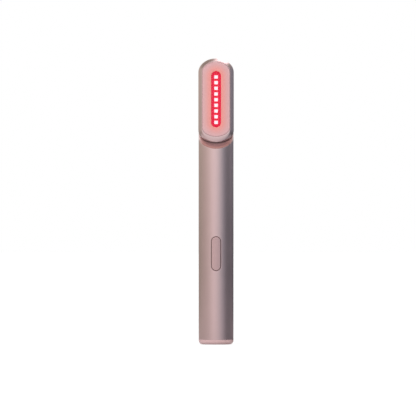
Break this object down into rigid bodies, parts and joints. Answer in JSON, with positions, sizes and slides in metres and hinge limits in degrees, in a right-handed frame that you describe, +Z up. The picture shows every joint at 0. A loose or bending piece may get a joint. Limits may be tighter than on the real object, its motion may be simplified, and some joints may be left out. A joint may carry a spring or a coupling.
{
  "type": "skincare wand",
  "caption": "Slim oval wand with a flush button, a charging port in its end cap, and a head on a slanted swivel that carries a treatment plate with a lit window.",
  "frame": {"origin": "centre of the wand's foot: on the handle's axis, in the end cap's bottom face", "axes": "+Z up along the handle towards the head; -Y is the front, where the button and the treatment plate are; +X is the viewer's right when the front is looked at"},
  "size_m": [0.0188, 0.0131, 0.1524],
  "materials": {
    "rose_anodised": "fine satin, rose anodised",
    "pale_plate": "smooth satin, pale rose anodised",
    "pink_plastic": "moulded, silky",
    "red_window": "tinted, clear, glossy",
    "light_chip": "white, lit",
    "grey_rubber": "matt",
    "bright_steel": "bright",
    "spring_steel": "blued",
    "weight_metal": "sintered",
    "black_plastic": "moulded",
    "white_plastic": "moulded",
    "green_board": "solder mask",
    "white_board": "solder mask",
    "cell_wrap": "shrink sleeve",
    "black_foam": "foam",
    "amber_film": "film",
    "red_insulation": "insulation",
    "yellow_insulation": "insulation"
  },
  "bodies": {
    "handle": {"handle_tube": "rose_anodised", "neck_collar": "pink_plastic", "end_cap": "pink_plastic", "end_cap_seal": "grey_rubber", "port_shell": "bright_steel", "port_tongue": "black_plastic", "main_board": "green_board", "board_chips": "black_plastic", "board_screws": "bright_steel", "switch_body": "black_plastic", "inner_tray": "white_plastic", "battery_cell": "cell_wrap", "cell_terminal": "bright_steel", "cell_foam": "black_foam", "cell_leads": "red_insulation", "swivel_bush": "white_plastic", "swivel_seal": "grey_rubber", "swivel_cable": "yellow_insulation"},
    "button": {"power_button": "pink_plastic", "button_pad": "grey_rubber", "switch_plunger": "black_plastic"},
    "head": {"head_shell": "rose_anodised", "treatment_plate": "pale_plate", "light_window": "red_window", "warming_film": "amber_film", "light_tray": "white_plastic", "light_board": "white_board", "lights": "light_chip", "head_screws": "bright_steel", "motor_carrier": "white_plastic", "motor_can": "bright_steel", "motor_cap": "black_plastic", "motor_sleeve": "grey_rubber", "head_leads": "red_insulation", "swivel_shaft": "bright_steel", "shaft_screws": "bright_steel", "retaining_ring": "spring_steel", "wave_washer": "spring_steel", "stop_pin": "bright_steel"},
    "rotor": {"motor_shaft": "bright_steel", "eccentric_weight": "weight_metal"}
  },
  "joints": [
    {"name": "head_swivel", "type": "hinge", "parent": "handle", "child": "head", "pos_m": [0, 0, 0.11235], "axis": [0, -0.7071, 0.7071], "range_deg": [0, 180]},
    {"name": "button_press", "type": "slide", "parent": "handle", "child": "button", "axis": [0, 1, 0], "range_m": [0, 0.0003], "stiffness_N_per_m": 4000, "springref_m": -0.0002},
    {"name": "motor_spin", "type": "hinge", "parent": "head", "child": "rotor", "pos_m": [0, 0.0021, 0.13], "axis": [0, 0, 1], "continuous": true}
  ]
}
